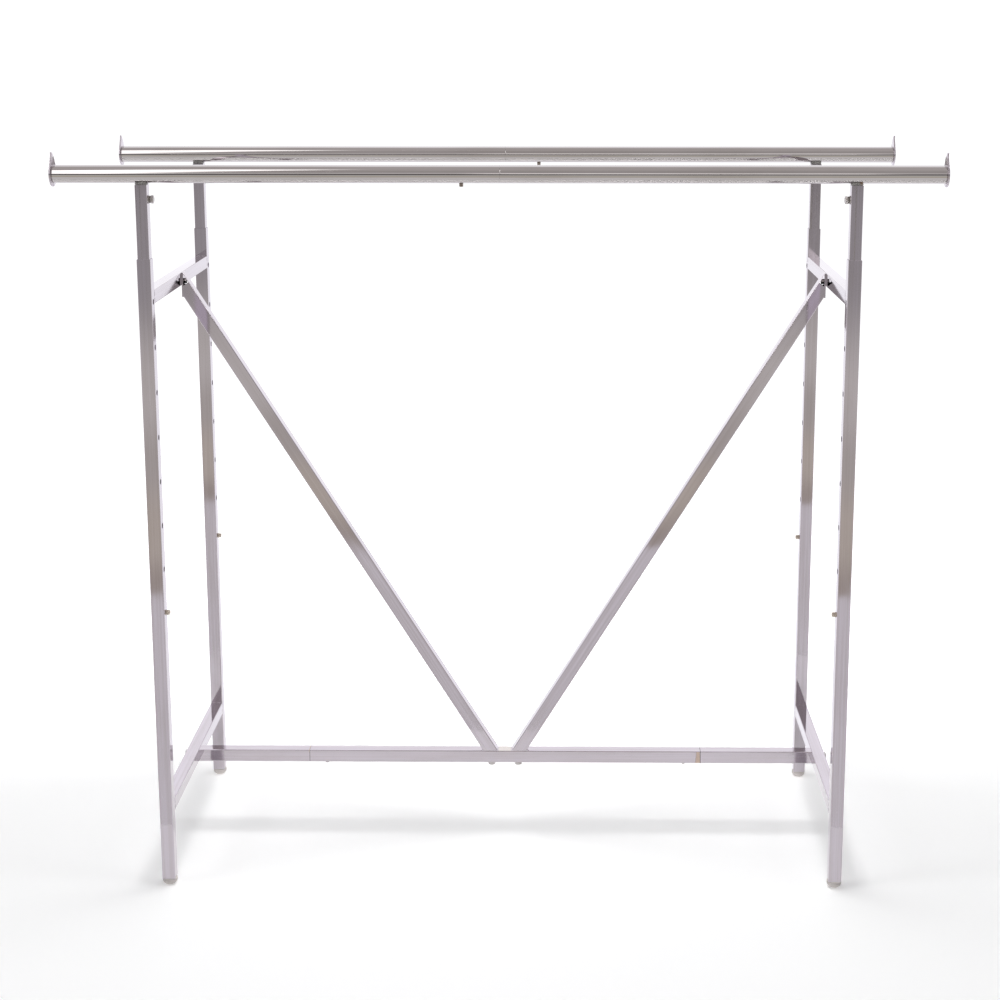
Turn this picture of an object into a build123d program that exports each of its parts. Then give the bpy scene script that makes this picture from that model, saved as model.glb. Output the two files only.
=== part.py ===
from build123d import *
import os
from math import asin, atan2, cos, degrees, sin, sqrt, tan

# A double-rail garment rack. Two welded end frames of square tube are joined by a bolted
# base rail and by two braces that form a V. Each round hang rail stands on two inner posts
# that slide in the uprights, and a spring button in each post locks in a row of holes.
# X runs along the rails, Y from front to rear, Z up. The origin is on the floor in the middle.
# All sizes are in millimetres.

# ---- overall sizes ----
post_spacing_x = 1293.0      # between the post centres, along a rail
post_spacing_y = 533.4       # between the two rails
upright_top = 1225.0         # open top of each upright above the floor
rail_rise = 154.5            # upright top to rail centre, at the lowest setting
rail_length = 1620.6         # one rail with its end stops

# ---- square tubes of the frame ----
tube = 25.4
tube_wall = 1.2
tube_corner = 1.6
least_inner_corner = 0.4
lower_bar_bottom = 145.5     # underside of the lower crossbars and of the base rail
upper_bar_drop = 59.0        # upright top to the top of the upper crossbar

# ---- height adjustment ----
hole_count = 8
hole_pitch = 84.9
top_hole_drop = 79.2         # upright top to the highest hole
post_gap = 0.4               # between an inner post and its upright, each side
post_wall = 1.2
post_corner = 1.6
post_tail = 65.0             # post below its button
button_diameter = 9.5
button_show = 8.5            # button beyond the upright
button_flange = 14.0
button_flange_thickness = 1.0
button_edge = 1.6
button_in_post_gap = 0.15    # round the button, in the post's hole
button_in_upright_gap = 0.45
button_spring_strip = 0.7
button_spring_width = 10.0
button_spring_drop = 52.0
button_spring_bend = 2.4
button_spring_fold = 7.2     # the folded end, across its two legs

# ---- hang rails ----
rail_diameter = 33.4
rail_wall = 1.5
rail_split = 2.4             # the joint between two halves stands this far off the middle
sleeve_gap = 0.25            # between a rail and the sleeve inside it, each side
sleeve_wall = 1.5
sleeve_length = 170.0
sleeve_screw_offset = 67.4
spigot_gap = 0.3             # between a spigot and its post, each side
spigot_wall = 1.5
spigot_depth = 75.0          # spigot below the rail
weld_gap = 0.05              # between curved faces that are welded
post_top_gap = 2.4           # rail to post top
clamp_bolt_drop = 46.0       # rail centre to the clamp bolt
clamp_nut_gap = 0.4          # between a clamp nut and the walls of its spigot

# ---- end stops ----
stop_plate = 3.0
stop_radius = 23.0
stop_tip_height = 39.2       # tip above the rail centre
stop_tip_radius = 4.5
stop_lip = 1.5               # rolled tip beyond the plate
stop_lip_radius = 2.0
stop_lip_length = 6.0
stop_lip_inset = 0.5         # rolled tip below the plate's own tip
stop_plug_gap = 0.15
stop_plug_length = 12.0
stop_plug_wall = 2.0
stop_edge = 0.6

# ---- base rail ----
base_joint_x = 404.0
base_insert_gap = 0.3
base_insert_wall = 1.5
base_insert_length = 120.0
base_screw_offset = 34.4     # joint to its screw
end_plug_gap = 0.2
end_plug_length = 12.0

# ---- braces ----
brace_toe_x = 15.3           # inner edge of each brace on the base rail
brace_end_plate = 3.0
brace_foot_plate = 2.0
brace_foot_margin = 1.5      # foot plate beyond the brace
brace_notch_drop = 26.0      # access notch along the end plate
brace_notch_run = 20.0       # access notch along the top wall
inside_clearance = 1.0       # between a nut and a brace wall

# ---- glides ----
glide_height = 14.3          # floor to the bottom of the tube
glide_diameter = 29.0
glide_side = 4.5
glide_top_round = 1.2
glide_rest_diameter = 9.0
glide_plug_gap = 0.2
glide_plug_length = 20.0

# ---- fasteners ----
m8 = 8.0
m8_flats = 13.0
m8_head = 5.3
m8_nut = 6.5
m8_washer_diameter = 16.0
m8_washer = 1.6
m8_lock_washer_diameter = 13.0
m8_lock_washer = 3.0
m6 = 6.0
m6_flats = 10.0
m6_head = 4.0
m6_nut = 5.0
m5 = 5.0
m5_head_diameter = 7.6
m5_head = 6.0
m5_head_edge = 1.4           # rounding on the face of the head
hex_ease = 0.08              # chamfer on a head, as a share of its flats
bolt_hole_gap = 0.3          # round a bolt in a clearance hole
thread_gap = 0.05            # round a bolt in its nut
bolt_end = 0.5               # bolt past its nut
screw_end = 3.0              # screw past the wall that it holds in

# ---- worked out ----
post_x = post_spacing_x / 2
post_y = post_spacing_y / 2
post = tube - 2 * (tube_wall + post_gap)
spigot = post - 2 * (post_wall + spigot_gap)
rail_radius = rail_diameter / 2
rail_bore = rail_diameter - 2 * rail_wall
rail_z = upright_top + rail_rise
rail_bottom = rail_z - rail_radius
tube_bore = tube - 2 * tube_wall
upper_bar_top = upright_top - upper_bar_drop
lower_bar_top = lower_bar_bottom + tube
base_z = lower_bar_bottom + tube / 2
bottom_hole_z = upright_top - top_hole_drop - (hole_count - 1) * hole_pitch
clamp_z = rail_z - clamp_bolt_drop
brace_foot_z = lower_bar_top + brace_foot_plate
brace_end_x = post_x - tube / 2 - brace_end_plate
brace_slope = atan2(upper_bar_top - brace_foot_z, brace_end_x - brace_toe_x)
brace_end_height = tube / cos(brace_slope)
brace_foot_width = tube / sin(brace_slope)
brace_bolt_z = (
    upper_bar_top
    - tube_wall / cos(brace_slope)
    - (m6_nut + bolt_end) * tan(brace_slope)
    - inside_clearance
    - m6_flats / 2
)
foot_bolt_x = (
    brace_toe_x
    + tube_wall / sin(brace_slope)
    + m8_head / tan(brace_slope)
    + inside_clearance
    + m8_flats / 2
)
button_travel = button_show + tube_wall + post_gap / 2

SIDES = {"left": -1, "right": 1}
DEPTHS = {"front": -1, "rear": 1}
TURN_TO = {1: 0, -1: 180}    # turn about Z that brings +X to face the sign


# ---- shapes used more than once ----
def square_tube(length, size=tube, wall=tube_wall, corner=tube_corner):
    """A square tube that runs up +Z from the origin."""
    inner_corner = max(corner - wall, least_inner_corner)
    outline = RectangleRounded(size, size, corner)
    bore = RectangleRounded(size - 2 * wall, size - 2 * wall, inner_corner)
    return extrude(outline - bore, length)


def round_tube(length, diameter, wall):
    """A round tube that runs up +Z from the origin."""
    return extrude(Circle(diameter / 2) - Circle(diameter / 2 - wall), length)


def rod(length, diameter):
    """A plain cylinder that runs up +Z from the origin."""
    return extrude(Circle(diameter / 2), length)


def along_x(shape, x, y, z):
    """A shape made along +Z, laid along +X from a point."""
    return Pos(x, y, z) * Rot(0, 90, 0) * shape


def along_y(shape, x, y, z):
    """A shape made along +Z, laid along +Y from a point."""
    return Pos(x, y, z) * Rot(-90, 0, 0) * shape


def facing(shape, sign, x, y, z):
    """A shape made along +Z, pointed along X in the direction of the sign."""
    return Pos(x, y, z) * Rot(0, 0, TURN_TO[sign]) * Rot(0, 90, 0) * shape


def hexagon(flats, height):
    """A hexagonal prism with its corners eased at the bottom."""
    prism = extrude(RegularPolygon(flats / 2, 6, major_radius=False), height)
    corners = 2 * flats / sqrt(3)
    disc = chamfer(rod(height, corners).edges().group_by(Axis.Z)[0], hex_ease * flats)
    return prism & disc


def hex_bolt(diameter, length, flats, head):
    """A bolt that points up +Z, with the underside of its head at the origin."""
    return Pos(0, 0, -head) * hexagon(flats, head) + rod(length, diameter)


def joint_screw(length):
    """A cheese-head screw that points up +Z, with the underside of its head at the origin."""
    head = fillet(rod(m5_head, m5_head_diameter).edges().group_by(Axis.Z)[0], m5_head_edge)
    return Pos(0, 0, -m5_head) * head + rod(length, m5)


def hex_nut(diameter, flats, height):
    """A nut that stands on the origin, with its bore up +Z and its eased end down."""
    return hexagon(flats, height) - rod(height, diameter + 2 * thread_gap)


def washer(thickness, diameter):
    """A washer for the larger bolts, with its top at the origin."""
    ring = rod(thickness, diameter) - rod(thickness, m8 + 2 * thread_gap)
    return Pos(0, 0, -thickness) * ring


def bolt_hole(diameter, length):
    """The cutter for a clearance hole, up +Z from the origin."""
    return rod(length, diameter + 2 * bolt_hole_gap)


def keep(name, *pieces):
    """Write one node, as one solid or as a group of separate solids."""
    solids = [solid for piece in pieces for solid in piece.solids()]
    node = solids[0] if len(solids) == 1 else Compound(solids)
    export_step(node, f"parts/{name}.step")


# ---- the welded end frames ----
def upright(side, depth):
    """An upright, with its row of adjustment holes in the face that looks to the middle."""
    x = side * post_x
    y = depth * post_y
    body = Pos(x, y, glide_height) * square_tube(upright_top - glide_height)
    hole_diameter = button_diameter + 2 * button_in_upright_gap
    for step in range(hole_count):
        z = bottom_hole_z + step * hole_pitch
        body -= facing(rod(tube, hole_diameter), -side, x, y, z)
    return body


def crossbar(side, bottom, hole_z, bolt):
    """A crossbar between a front and a rear upright, drilled through for its bolt."""
    length = post_spacing_y - tube
    x = side * post_x
    body = along_y(square_tube(length), x, -length / 2, bottom + tube / 2)
    return body - along_x(bolt_hole(bolt, tube), x - tube / 2, 0, hole_z)


def glide():
    """A domed foot with a square plug that is pushed into an upright."""
    radius = glide_diameter / 2
    rest = glide_rest_diameter / 2
    shoulder = glide_height - glide_side
    profile = [
        Line((0, 0), (rest, 0)),
        EllipticalCenterArc((rest, shoulder), radius - rest, shoulder, 270, arc_size=90),
        Line((radius, shoulder), (radius, glide_height)),
        Line((radius, glide_height), (0, glide_height)),
        Line((0, glide_height), (0, 0)),
    ]
    dome = revolve(Plane.XZ * make_face(profile), Axis.Z)
    dome = fillet(dome.edges().group_by(Axis.Z)[-1], glide_top_round)
    plug_size = tube_bore - 2 * glide_plug_gap
    plug = extrude(RectangleRounded(plug_size, plug_size, tube_corner), glide_plug_length)
    return dome + Pos(0, 0, glide_height) * plug


# ---- the base rail ----
def base_tubes():
    """The centre tube and the two stubs of the base rail, drilled for their fasteners."""
    centre = along_x(square_tube(2 * base_joint_x), -base_joint_x, 0, base_z)
    for side in SIDES.values():
        screw_x = side * (base_joint_x - base_screw_offset)
        centre -= Pos(screw_x, 0, lower_bar_bottom) * bolt_hole(m5, tube_wall)
        centre -= Pos(side * foot_bolt_x, 0, lower_bar_bottom) * bolt_hole(m8, tube)
    stub_length = post_x - tube / 2 - base_joint_x
    stubs = {}
    for name, side in SIDES.items():
        stubs[name] = facing(square_tube(stub_length), side, side * base_joint_x, 0, base_z)
    return centre, stubs


def base_insert(side):
    """The square insert that joins a stub to the centre tube, tapped for its screw."""
    size = tube_bore - 2 * base_insert_gap
    start = base_joint_x - base_insert_length / 2
    body = square_tube(base_insert_length, size, base_insert_wall)
    body = facing(body, side, side * start, 0, base_z)
    screw_x = side * (base_joint_x - base_screw_offset)
    tapped = rod(tube / 2, m5 + 2 * thread_gap)
    return body - Pos(screw_x, 0, lower_bar_bottom) * tapped


def base_screw(side):
    """The screw that comes up through the centre tube into an insert."""
    length = tube_wall + base_insert_gap + base_insert_wall + screw_end
    screw_x = side * (base_joint_x - base_screw_offset)
    return Pos(screw_x, 0, lower_bar_bottom) * joint_screw(length)


def end_plug(side):
    """The tapped plug in the outer end of a stub."""
    size = tube_bore - 2 * end_plug_gap
    body = extrude(RectangleRounded(size, size, tube_corner), end_plug_length)
    body -= rod(end_plug_length, m8 + 2 * thread_gap)
    start = side * (post_x - tube / 2 - end_plug_length)
    return facing(body, side, start, 0, base_z)


def end_bolt(side):
    """The bolt through a lower crossbar into the plug of a stub."""
    bolt = hex_bolt(m8, tube + end_plug_length + bolt_end, m8_flats, m8_head)
    return facing(bolt, -side, side * (post_x + tube / 2), 0, base_z)


# ---- the braces ----
def brace():
    """The right brace, mitred against its end plate and seated on its foot plate."""
    run = Vector(cos(brace_slope), 0, sin(brace_slope))
    below = Vector(sin(brace_slope), 0, -cos(brace_slope))
    spare = 2 * tube
    length = (brace_end_x - brace_toe_x) / cos(brace_slope) + 2 * spare
    start = Vector(brace_toe_x, 0, brace_foot_z) + below * (tube / 2) - run * spare
    body = Plane(origin=start, x_dir=below, z_dir=run).location * square_tube(length)
    width = brace_end_x - brace_toe_x + tube
    height = upper_bar_top - brace_foot_z + tube
    room = Pos(brace_end_x - width / 2, 0, brace_foot_z + height / 2)
    body = body & (room * Box(width, 2 * tube, height))
    inner_top = upper_bar_top - tube_wall / cos(brace_slope)
    corner = Vector(brace_end_x, 0, inner_top)
    along = corner - run * brace_notch_run
    lower = (brace_end_x, upper_bar_top - brace_notch_drop)
    notch = make_face(Polyline((corner.X, corner.Z), (along.X, along.Z), lower, close=True))
    cutter = extrude(Plane.XZ * notch, tube, both=True)
    return body - cutter


def brace_end(side):
    """The plate on the top end of a brace, drilled for its bolt."""
    middle = upper_bar_top - brace_end_height / 2
    plate = Box(brace_end_plate, tube, brace_end_height)
    plate = Pos(side * (brace_end_x + brace_end_plate / 2), 0, middle) * plate
    return plate - along_x(bolt_hole(m6, tube), side * brace_end_x - tube / 2, 0, brace_bolt_z)


def brace_foot(side):
    """The plate under the lower end of a brace, drilled for its bolt."""
    width = brace_foot_width + brace_foot_margin
    centre = side * (brace_toe_x + width / 2)
    plate = Pos(centre, 0, lower_bar_top + brace_foot_plate / 2) * Box(width, tube, brace_foot_plate)
    return plate - Pos(side * foot_bolt_x, 0, lower_bar_top) * bolt_hole(m8, brace_foot_plate)


def brace_bolt(side):
    """The bolt through an upper crossbar into the nut inside a brace."""
    bolt = hex_bolt(m6, tube + brace_end_plate + m6_nut + bolt_end, m6_flats, m6_head)
    return facing(bolt, -side, side * (post_x + tube / 2), 0, brace_bolt_z)


def brace_nut(side):
    """The nut on the end plate, inside the top of a brace."""
    nut = Rot(0, 0, 30) * hex_nut(m6, m6_flats, m6_nut)
    return facing(nut, -side, side * brace_end_x, 0, brace_bolt_z)


def foot_bolt(side):
    """The bolt from inside the lower end of a brace down through the base rail."""
    length = brace_foot_plate + tube + m8_washer + m8_nut + bolt_end
    bolt = hex_bolt(m8, length, m8_flats, m8_head)
    return Pos(side * foot_bolt_x, 0, brace_foot_z) * Rot(180, 0, 30) * bolt


def foot_nut(side):
    """The washer and nut under the base rail, on the bolt of a brace."""
    place = Pos(side * foot_bolt_x, 0, lower_bar_bottom)
    nut = Rot(0, 0, 30) * hex_nut(m8, m8_flats, m8_nut)
    return [place * washer(m8_washer, m8_washer_diameter), place * Pos(0, 0, -m8_washer - m8_nut) * nut]


# ---- the hang rails ----
def rail_half(side, depth):
    """Half of a rail, from its joint near the middle to its end stop."""
    split = -depth * rail_split
    end = side * (rail_length / 2 - stop_lip - stop_plate)
    length = abs(end - split)
    body = facing(round_tube(length, rail_diameter, rail_wall), side, split, depth * post_y, rail_z)
    if side == depth:
        drill = Pos(side * sleeve_screw_offset, depth * post_y, rail_bottom)
        body -= drill * bolt_hole(m5, rail_radius)
    return body


def rail_sleeve(depth):
    """The sleeve inside the joint of a rail, tapped for its screw."""
    diameter = rail_bore - 2 * sleeve_gap
    start = -sleeve_length / 2
    body = along_x(round_tube(sleeve_length, diameter, sleeve_wall), start, depth * post_y, rail_z)
    tapped = Pos(depth * sleeve_screw_offset, depth * post_y, rail_bottom)
    return body - tapped * rod(rail_radius, m5 + 2 * thread_gap)


def sleeve_screw(depth):
    """The screw that comes up through a rail into its sleeve."""
    length = rail_wall + sleeve_gap + sleeve_wall + screw_end
    return Pos(depth * sleeve_screw_offset, depth * post_y, rail_bottom) * joint_screw(length)


def stop_outline():
    """The drop shape of an end stop: a disc and a small tip joined by tangent lines."""
    height = stop_tip_height - stop_tip_radius
    lean = asin((stop_radius - stop_tip_radius) / height)
    wide = (stop_radius * cos(lean), stop_radius * sin(lean))
    narrow = (stop_tip_radius * cos(lean), height + stop_tip_radius * sin(lean))
    return make_face([
        ThreePointArc(wide, (0, -stop_radius), (-wide[0], wide[1])),
        Line((-wide[0], wide[1]), (-narrow[0], narrow[1])),
        ThreePointArc((-narrow[0], narrow[1]), (0, stop_tip_height), narrow),
        Line(narrow, wide),
    ])


def end_stop(side, depth):
    """A drop-shaped plate with a rolled tip and a plug that fits in the rail."""
    plate = extrude(stop_outline(), stop_plate)
    rims = plate.edges().group_by(Axis.Z)
    plate = chamfer(rims[0] + rims[-1], stop_edge)
    lip = Rot(0, 90, 0) * Pos(0, 0, -stop_lip_length / 2) * rod(stop_lip_length, 2 * stop_lip_radius)
    lip_height = stop_tip_height - stop_lip_inset - stop_lip_radius
    plate += Pos(0, lip_height, stop_plate + stop_lip - stop_lip_radius) * lip
    plug_diameter = rail_bore - 2 * stop_plug_gap
    plate += Pos(0, 0, -stop_plug_length) * round_tube(stop_plug_length, plug_diameter, stop_plug_wall)
    start = side * (rail_length / 2 - stop_lip - stop_plate)
    face = Plane(origin=(start, depth * post_y, rail_z), x_dir=(0, side, 0), z_dir=(side, 0, 0))
    return face.location * plate


def rail_spigot(side, depth):
    """The square spigot that is welded under a rail and enters a post."""
    x = side * post_x
    y = depth * post_y
    length = rail_radius + spigot_depth
    body = Pos(x, y, rail_z - length) * square_tube(length, spigot, spigot_wall)
    saddle = rod(2 * tube, rail_diameter + 2 * weld_gap)
    body -= along_x(saddle, x - tube, y, rail_z)
    return body - facing(bolt_hole(m8, spigot), -side, x, y, clamp_z)


def inner_post(side, depth):
    """A post that slides in an upright, with a hole for its button and one for its clamp bolt."""
    x = side * post_x
    y = depth * post_y
    bottom = bottom_hole_z - post_tail
    top = rail_bottom - post_top_gap
    body = Pos(x, y, bottom) * square_tube(top - bottom, post, post_wall, post_corner)
    hole = rod(post, button_diameter + 2 * button_in_post_gap)
    body -= facing(hole, -side, x, y, bottom_hole_z)
    return body - facing(bolt_hole(m8, post), -side, x, y, clamp_z)


def clamp_bolt(side, depth):
    """The bolt that holds a post on its spigot, with its flat washer and its lock washer."""
    stack = m8_washer + m8_lock_washer
    reach = stack + post_wall + spigot_gap + spigot_wall + m8_nut + bolt_end
    pieces = [
        Pos(0, 0, -stack) * hex_bolt(m8, reach, m8_flats, m8_head),
        washer(m8_washer, m8_washer_diameter),
        Pos(0, 0, -m8_washer) * washer(m8_lock_washer, m8_lock_washer_diameter),
    ]
    start = side * (post_x - post / 2)
    return [facing(piece, side, start, depth * post_y, clamp_z) for piece in pieces]


def clamp_nut(side, depth):
    """The square nut that is kept from turning by the walls of a spigot."""
    size = spigot - 2 * (spigot_wall + clamp_nut_gap)
    nut = extrude(Rectangle(size, size), m8_nut) - rod(m8_nut, m8 + 2 * thread_gap)
    start = side * (post_x - spigot / 2 + spigot_wall)
    return facing(nut, side, start, depth * post_y, clamp_z)


# ---- the spring buttons ----
def snap_button(side, depth):
    """The button that locks a post, with a flange that stays inside the post."""
    reach = post_wall + post_gap + tube_wall + button_show
    stem = fillet(rod(reach, button_diameter).edges().group_by(Axis.Z)[-1], button_edge)
    flange = Pos(0, 0, -button_flange_thickness) * rod(button_flange_thickness, button_flange)
    start = side * (post_x - post / 2 + post_wall)
    return facing(stem + flange, -side, start, depth * post_y, bottom_hole_z)


def button_spring(side, depth):
    """The folded strip that pushes a button outwards from the far wall of its post."""
    wall = post / 2 - post_wall - button_spring_strip / 2
    push = wall - button_flange_thickness
    above = button_flange / 2
    fold = -wall + button_spring_fold
    path = FilletPolyline(
        (push, above),
        (push, -above),
        (fold, -button_spring_drop),
        (-wall, -button_spring_drop),
        (-wall, above),
        radius=button_spring_bend,
    )
    path = Plane.XZ * path
    start = Plane(origin=path @ 0, x_dir=(1, 0, 0), z_dir=path % 0)
    section = start * Rectangle(button_spring_strip, button_spring_width)
    strip = sweep(section, path)
    place = Pos(side * post_x, depth * post_y, bottom_hole_z)
    return place * Rot(0, 0, TURN_TO[-side]) * strip


# ---- the whole rack ----
def write_frame():
    """Write the nodes that stand still."""
    centre, stubs = base_tubes()
    keep("base_centre_tube", centre)
    right_brace = brace()
    for name, side in SIDES.items():
        keep(f"base_{name}_stub", stubs[name])
        keep(f"{name}_upper_crossbar", crossbar(side, upper_bar_top - tube, brace_bolt_z, m6))
        keep(f"{name}_lower_crossbar", crossbar(side, lower_bar_bottom, base_z, m8))
        keep(f"{name}_brace", Rot(0, 0, TURN_TO[side]) * right_brace)
        for place, depth in DEPTHS.items():
            keep(f"{place}_{name}_upright", upright(side, depth))
            keep(f"{place}_{name}_glide", Pos(side * post_x, depth * post_y, 0) * glide())
    both = SIDES.values()
    keep("base_joint_inserts", *[base_insert(side) for side in both])
    keep("base_joint_screws", *[base_screw(side) for side in both])
    keep("base_end_plugs", *[end_plug(side) for side in both])
    keep("base_end_bolts", *[end_bolt(side) for side in both])
    keep("brace_end_plates", *[brace_end(side) for side in both])
    keep("brace_foot_plates", *[brace_foot(side) for side in both])
    keep("brace_top_bolts", *[brace_bolt(side) for side in both])
    keep("brace_top_nuts", *[brace_nut(side) for side in both])
    keep("brace_foot_bolts", *[foot_bolt(side) for side in both])
    keep("brace_foot_nuts", *[piece for side in both for piece in foot_nut(side)])


def write_rails():
    """Write the nodes that rise with a rail, and its buttons."""
    for place, depth in DEPTHS.items():
        keep(f"{place}_rail_sleeve", rail_sleeve(depth))
        keep(f"{place}_rail_sleeve_screw", sleeve_screw(depth))
        bolts = [piece for side in SIDES.values() for piece in clamp_bolt(side, depth)]
        keep(f"{place}_clamp_bolts", *bolts)
        keep(f"{place}_clamp_nuts", *[clamp_nut(side, depth) for side in SIDES.values()])
        for name, side in SIDES.items():
            keep(f"{place}_{name}_rail_half", rail_half(side, depth))
            keep(f"{place}_{name}_end_stop", end_stop(side, depth))
            keep(f"{place}_{name}_rail_spigot", rail_spigot(side, depth))
            keep(f"{place}_{name}_inner_post", inner_post(side, depth))
            keep(f"{place}_{name}_snap_button", snap_button(side, depth))
            keep(f"{place}_{name}_button_spring", button_spring(side, depth))


os.makedirs("parts", exist_ok=True)
write_frame()
write_rails()
print(f"height range {rail_z:.1f} to {rail_z + (hole_count - 1) * hole_pitch:.1f} mm")
print(f"button travel {button_travel:.2f} mm, brace slope {degrees(brace_slope):.1f} degrees")
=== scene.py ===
"""Looks of the double-rail garment rack, on the frame that the CAD model gives."""

import logging
import math
from collections.abc import Callable, Iterable, Sequence
from dataclasses import dataclass, field
from enum import Enum

import bmesh
import bpy
from mathutils import Matrix, Vector


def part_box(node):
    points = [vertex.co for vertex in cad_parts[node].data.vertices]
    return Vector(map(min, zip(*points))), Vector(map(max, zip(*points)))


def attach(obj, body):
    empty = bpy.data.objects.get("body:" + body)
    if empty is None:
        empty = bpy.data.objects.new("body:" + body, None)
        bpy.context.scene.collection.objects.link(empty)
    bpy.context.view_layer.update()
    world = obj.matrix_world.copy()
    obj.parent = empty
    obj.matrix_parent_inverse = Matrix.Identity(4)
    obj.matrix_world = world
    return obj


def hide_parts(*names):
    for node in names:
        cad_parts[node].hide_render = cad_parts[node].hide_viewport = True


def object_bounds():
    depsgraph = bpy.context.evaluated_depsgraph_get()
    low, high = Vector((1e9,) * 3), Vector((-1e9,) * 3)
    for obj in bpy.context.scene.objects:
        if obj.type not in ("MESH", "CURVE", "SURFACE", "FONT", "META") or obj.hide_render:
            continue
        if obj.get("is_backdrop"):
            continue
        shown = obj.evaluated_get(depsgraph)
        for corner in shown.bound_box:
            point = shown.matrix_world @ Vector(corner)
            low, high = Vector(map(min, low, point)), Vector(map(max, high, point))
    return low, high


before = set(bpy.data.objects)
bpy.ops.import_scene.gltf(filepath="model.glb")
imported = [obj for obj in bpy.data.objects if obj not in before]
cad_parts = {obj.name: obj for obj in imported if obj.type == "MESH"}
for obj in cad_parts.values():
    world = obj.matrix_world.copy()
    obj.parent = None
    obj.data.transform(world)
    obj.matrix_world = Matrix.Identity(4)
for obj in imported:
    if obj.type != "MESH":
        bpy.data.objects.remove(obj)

LOG = logging.getLogger("rack")
MM = 0.001
Colour = tuple[float, float, float]
Profile = Sequence[tuple[float, float]]


# ---- shader maths ----
@dataclass(frozen=True)
class Value:
    """A socket that carries a number, so that maths on it adds Math nodes."""

    graph: "Graph"
    socket: bpy.types.NodeSocket

    def __add__(self, other: "Value | float") -> "Value":
        """Add a value."""
        return self.graph.maths("ADD", self, other)

    def __sub__(self, other: "Value | float") -> "Value":
        """Take a value away."""
        return self.graph.maths("SUBTRACT", self, other)

    def __rsub__(self, other: float) -> "Value":
        """Take this from a number."""
        return self.graph.maths("SUBTRACT", other, self)

    def __mul__(self, other: "Value | float") -> "Value":
        """Multiply by a value."""
        return self.graph.maths("MULTIPLY", self, other)

    def __truediv__(self, other: "Value | float") -> "Value":
        """Divide by a value."""
        return self.graph.maths("DIVIDE", self, other)

    def __pow__(self, other: float) -> "Value":
        """Raise to a power."""
        return self.graph.maths("POWER", self, other)

    def __abs__(self) -> "Value":
        """Drop the sign."""
        return self.graph.maths("ABSOLUTE", self)

    def __gt__(self, other: "Value | float") -> "Value":
        """Give 1 where this is greater."""
        return self.graph.maths("GREATER_THAN", self, other)

    def __lt__(self, other: "Value | float") -> "Value":
        """Give 1 where this is less."""
        return self.graph.maths("LESS_THAN", self, other)

    __radd__ = __add__
    __rmul__ = __mul__

    def ramp(self, low: float, high: float, start: float = 0.0, end: float = 1.0) -> "Value":
        """Map this smoothly from low..high to start..end.

        Args:
            low: the value that gives start.
            high: the value that gives end.
            start: the result at low and below.
            end: the result at high and above.

        Returns:
            The mapped value.
        """
        sockets = {"Value": self, "From Min": low, "From Max": high, "To Min": start, "To Max": end}
        settings = {"interpolation_type": "SMOOTHSTEP"}
        return self.graph.value(self.graph.node("ShaderNodeMapRange", settings, sockets), "Result")


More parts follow.
